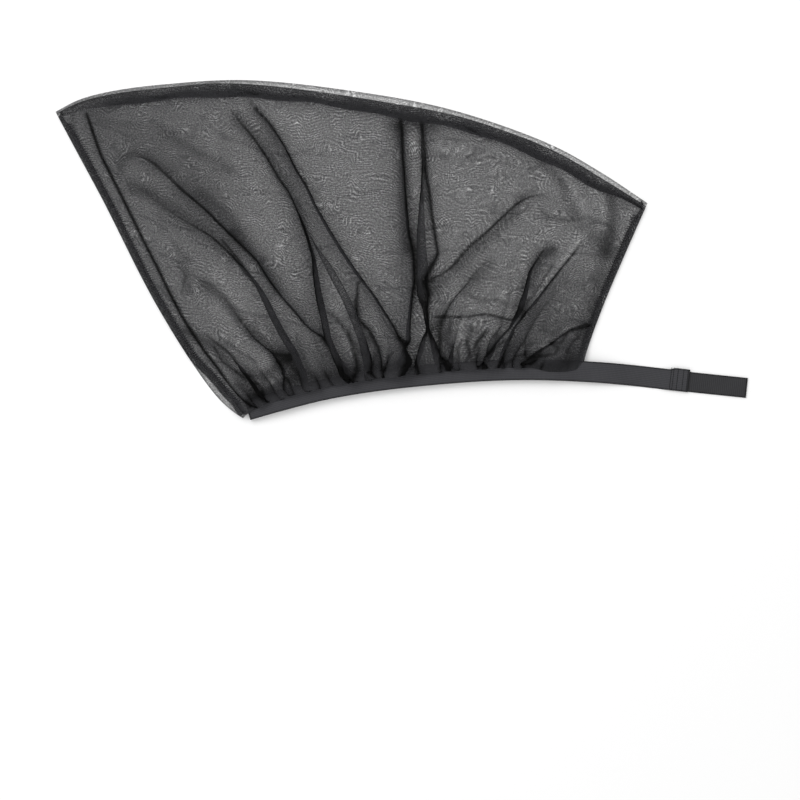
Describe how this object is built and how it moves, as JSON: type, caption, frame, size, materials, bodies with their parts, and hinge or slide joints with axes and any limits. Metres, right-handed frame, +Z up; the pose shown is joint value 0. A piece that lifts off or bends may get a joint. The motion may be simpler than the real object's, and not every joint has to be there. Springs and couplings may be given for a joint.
{
  "type": "car side window sunshade",
  "caption": "Black mesh sock for a car door's window frame, seamed at the top and sides, with an elastic band and a strap with hook tape at its open lower edge.",
  "frame": {"origin": "on the surface that the shade lies on, under the middle of its bounding box", "axes": "+X along the shade towards the strap's end, +Y towards the curved top edge, +Z up from the surface, out of the front panel"},
  "size_m": [0.8654, 0.425, 0.0234],
  "materials": {
    "mesh": "fine black warp-knit polyester mesh, see-through",
    "seam": "turned-in black mesh seam allowance, overlocked",
    "elastic": "black woven elastic, matt",
    "hook": "black nylon hook tape, matt",
    "loop": "black brushed loop tape, matt"
  },
  "bodies": {
    "root": {"front_mesh_panel": "mesh", "rear_mesh_panel": "mesh", "top_seam": "seam", "left_side_seam": "seam", "right_side_seam": "seam", "front_band_and_strap": "elastic", "rear_elastic_band": "elastic", "hook_tape": "hook", "loop_tape": "loop"}
  },
  "joints": []
}
